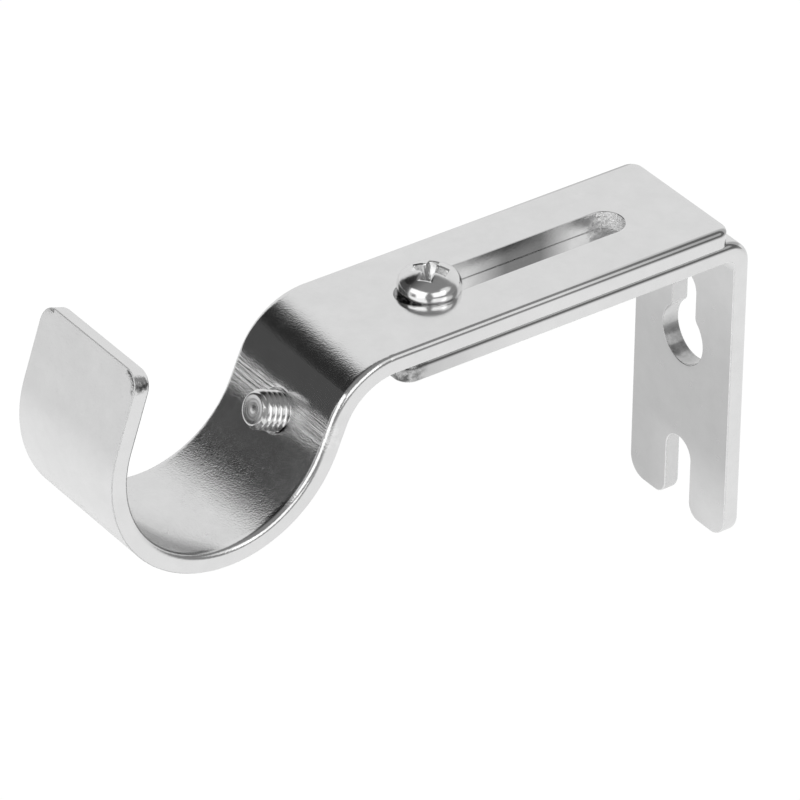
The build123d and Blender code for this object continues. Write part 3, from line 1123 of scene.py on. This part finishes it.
# The brightness takes off the painted shade in the slot and at the keyhole's foot.
brightness = times(tree, mottled, without(tree, slot_shade), without(tree, keyhole_foot_shade),
                   remap(tree, along, 1, WALL_HOLES_DULL, *SLOT_END))
bare_metal(tree, times(tree, remap(tree, to_torn, 1, MATT_METAL, *MATT_FROM),
                       remap(tree, along, 1, WALL_HOLES_METAL, *SLOT_END)))
roughness = remap(tree, rough_noise, *PUNCHED_ROUGH)
grain = noise_on(tree, coordinates, *PUNCHED_GRAIN)
lean = remap(tree, axis_of(tree, coordinates, "Z"), TORN_LEAN, -TORN_LEAN, *TORN_HEIGHT)
torn_relief = plus(tree, lean, remap(tree, grain, -TORN_ROUGH, TORN_ROUGH, 0, 1))
plate(tree, brightness, roughness, plus(tree, grain, times(tree, torn, torn_relief)), PUNCHED_RELIEF)
for piece in (arm_strip, wall_strip):
    piece.data.materials.append(punched)
slot_faces = sum(face.material_index == PUNCHED_FINISH for face in arm_strip.data.polygons)
print("walls of", slot_faces, "faces in the arm")

# %% [markdown]
# ## Broken edges
# The lower outlines of both strips were left almost sharp. The tumbling barrel has only broken them, so
# they draw a thin light line round the faces, and on the lip, where they are worn, a matt grey one.

# %% Plate the broken edges
WORN_METAL = 0.1
BROKEN_NOISE = (1500, 4)
BROKEN_BRIGHT = (0.86, 0.98)
BROKEN_ROUGH = (0.45, 0.60)
BROKEN_GRAIN = (2600, 4)
BROKEN_RELIEF = 0.004

broken, tree, coordinates = metal("broken_edge")
bare_metal(tree, remap(tree, axis_of(tree, coordinates, "Y"), WORN_METAL, 1, *LIP_AT))
clouds = noise_on(tree, coordinates, *BROKEN_NOISE)
plate(tree, remap(tree, clouds, *BROKEN_BRIGHT), remap(tree, clouds, *BROKEN_ROUGH),
      noise_on(tree, coordinates, *BROKEN_GRAIN), BROKEN_RELIEF)
for piece in (arm_strip, wall_strip):
    piece.data.materials.append(broken)
print("broken edges plated")

# %% [markdown]
# ## The studio
# Bright metal shows nothing but what stands round it. The photograph was taken with a white sheet behind
# and to the left, a dark room in front and overhead, and a light box to the right. The world gives these to
# the reflections as soft patches, each with a direction and a width. The camera sees plain white, and so do
# reflections that look back at the sheet.

# %% Set out the surroundings
ROOM = (0.072, 0.24)
ROOM_TURN = (-0.5, 0.0)
DARK_END = {"grey": 0.024, "centre": (-0.678, -0.263, 0.686), "outer": 16, "inner": 13.5}
LIGHT_BOX = {"grey": 0.8, "centre": (0.70, 0.42, 0.55), "outer": 21, "inner": 15}
WHITE_SHEET = {"grey": 0.8, "centre": (-0.7, 0.714, 0), "outer": 65, "inner": 57.5}
world = bpy.data.worlds.new("studio")
bpy.context.scene.world = world
world.use_nodes = True
studio = world.node_tree
studio.nodes.clear()
view_direction = add_node(studio, "ShaderNodeTexCoord").outputs["Generated"]


def soft_patch(tree, direction, patch):
    """How far a direction lies in a round patch that fades out between two angles, in degrees."""
    towards = add_node(tree, "ShaderNodeVectorMath", operation="DOT_PRODUCT")
    towards.inputs[1].default_value = Vector(patch["centre"]).normalized()
    tree.links.new(direction, towards.inputs[0])
    edge = add_node(tree, "ShaderNodeMapRange", interpolation_type="SMOOTHSTEP")
    edge.inputs["From Min"].default_value = math.cos(math.radians(patch["outer"]))
    edge.inputs["From Max"].default_value = math.cos(math.radians(patch["inner"]))
    tree.links.new(towards.outputs["Value"], edge.inputs["Value"])
    return edge.outputs["Result"]


def paint(tree, under, grey, share):
    """Paint a grey over what is there."""
    mix = add_node(tree, "ShaderNodeMix", data_type="FLOAT")
    mix.inputs["B"].default_value = grey
    tree.links.new(share, mix.inputs["Factor"])
    tree.links.new(under, mix.inputs["A"])
    return mix.outputs["Result"]


room = remap(studio, axis_of(studio, view_direction, "X"), *ROOM, *ROOM_TURN)
for patch in (DARK_END, LIGHT_BOX):
    room = paint(studio, room, patch["grey"], soft_patch(studio, view_direction, patch))
print("surroundings painted")

# %% Show the camera plain white
CAMERA_WHITE = 1.0
rays = add_node(studio, "ShaderNodeLightPath")
plain_views = combine(studio, "MAXIMUM", rays.outputs["Is Camera Ray"], rays.outputs["Is Transmission Ray"])
white_sheet = soft_patch(studio, view_direction, WHITE_SHEET)
sheet_views = times(studio, rays.outputs["Is Glossy Ray"], white_sheet)
room = paint(studio, room, WHITE_SHEET["grey"], sheet_views)
background = add_node(studio, "ShaderNodeBackground")
background.inputs["Color"].default_value = (1, 1, 1, 1)
studio.links.new(paint(studio, room, CAMERA_WHITE, plain_views), background.inputs["Strength"])
world_output = add_node(studio, "ShaderNodeOutputWorld")
studio.links.new(background.outputs["Background"], world_output.inputs["Surface"])
bpy.context.scene.view_settings.view_transform = "Standard"
print("world ready")

# %% [markdown]
# ## Floor and lights
# The bracket hangs on a wall in use, so the floor lies well below it. It is white paper to the camera, and
# keeps a soft shadow. In the reflections the paper fades a little with the distance and ends on the right.
# From below it is clear, so that the underside can be looked at as well.
# Two soft lights stand left and right of the camera, which puts the paired bright patches on the screw's
# head.

# %% Lay the floor
FLOOR_BELOW = 0.30
FLOOR_R = 4.0
FLOOR_STEPS = 96
floor_height = cad_box[0][2] - FLOOR_BELOW
floor_shape = bmesh.new()
bmesh.ops.create_circle(floor_shape, cap_ends=True, radius=FLOOR_R, segments=FLOOR_STEPS,
                        matrix=Matrix.Translation((0, 0, floor_height)))
floor_mesh = bpy.data.meshes.new("floor")
floor_shape.to_mesh(floor_mesh)
floor_shape.free()
floor = bpy.data.objects.new("floor", floor_mesh)
bpy.context.collection.objects.link(floor)
print("floor at", round(floor_height, 3))

# %% Give the floor its paper
WHITE_SHARE = 0.94
PAPER_COLOUR = (0.9, 0.9, 0.9, 1)
PAPER_ROUGH = 0.9
PAPER_TO_CAMERA = 1.06
PAPER_END = (0.85, 1.3)
END_GREYS = (0.92, 0.4)
PAPER_FADE = (0.5, 1.2)
FADE_GREYS = (0.98, 0.86)
FROM_ABOVE = (1, 1, 0)
paper = bpy.data.materials.new("paper")
paper.use_nodes = True
tree = paper.node_tree
sheet = tree.nodes["Principled BSDF"]
sheet.inputs["Base Color"].default_value = PAPER_COLOUR
sheet.inputs["Roughness"].default_value = PAPER_ROUGH
coordinates = add_node(tree, "ShaderNodeTexCoord").outputs["Object"]
past_the_end = remap(tree, axis_of(tree, coordinates, "X"), *END_GREYS, *PAPER_END)
faded = remap(tree, distance_from(tree, coordinates, (0, 0, 0), FROM_ABOVE), *FADE_GREYS, *PAPER_FADE)
mirrored = times(tree, past_the_end, faded)
rays = add_node(tree, "ShaderNodeLightPath")
glow = add_node(tree, "ShaderNodeEmission")
to_camera = rays.outputs["Is Camera Ray"]
tree.links.new(paint(tree, mirrored, PAPER_TO_CAMERA, to_camera), glow.inputs["Strength"])
views = combine(tree, "MAXIMUM", to_camera, rays.outputs["Is Glossy Ray"],
                rays.outputs["Is Transmission Ray"])
paper_mix = add_node(tree, "ShaderNodeMixShader")
tree.links.new(times(tree, views, WHITE_SHARE), paper_mix.inputs["Fac"])
tree.links.new(sheet.outputs["BSDF"], paper_mix.inputs[1])
tree.links.new(glow.outputs["Emission"], paper_mix.inputs[2])
from_below = add_node(tree, "ShaderNodeNewGeometry").outputs["Backfacing"]
open_below = add_node(tree, "ShaderNodeMixShader")
tree.links.new(from_below, open_below.inputs["Fac"])
tree.links.new(paper_mix.outputs["Shader"], open_below.inputs[1])
tree.links.new(add_node(tree, "ShaderNodeBsdfTransparent").outputs["BSDF"], open_below.inputs[2])
tree.links.new(open_below.outputs["Shader"], tree.nodes["Material Output"].inputs["Surface"])
floor_mesh.materials.append(paper)
print("paper laid")

# %% Set the lights
AIM_AT = Vector((0, -0.045, 0.015))
LIGHTS = {"left_light": {"right": -0.72, "down": 0.18, "size": (1.3, 1.3), "power": 5.3},
          "right_light": {"right": 0.56, "down": 0.12, "size": (0.9, 0.65), "power": 1.8}}


def soft_light(name, at, size, power):
    """A soft light box that points at the bracket."""
    data = bpy.data.lights.new(name, "AREA")
    data.shape = "RECTANGLE"
    data.size = size[0]
    data.size_y = size[1]
    data.energy = power
    light = bpy.data.objects.new(name, data)
    light.location = at
    light.rotation_euler = (AIM_AT - Vector(at)).to_track_quat("-Z", "Y").to_euler()
    light.visible_camera = False
    bpy.context.collection.objects.link(light)


for name, box in LIGHTS.items():
    soft_light(name, place + right * box["right"] - up * box["down"], box["size"], box["power"])
print("lights set:", *LIGHTS)
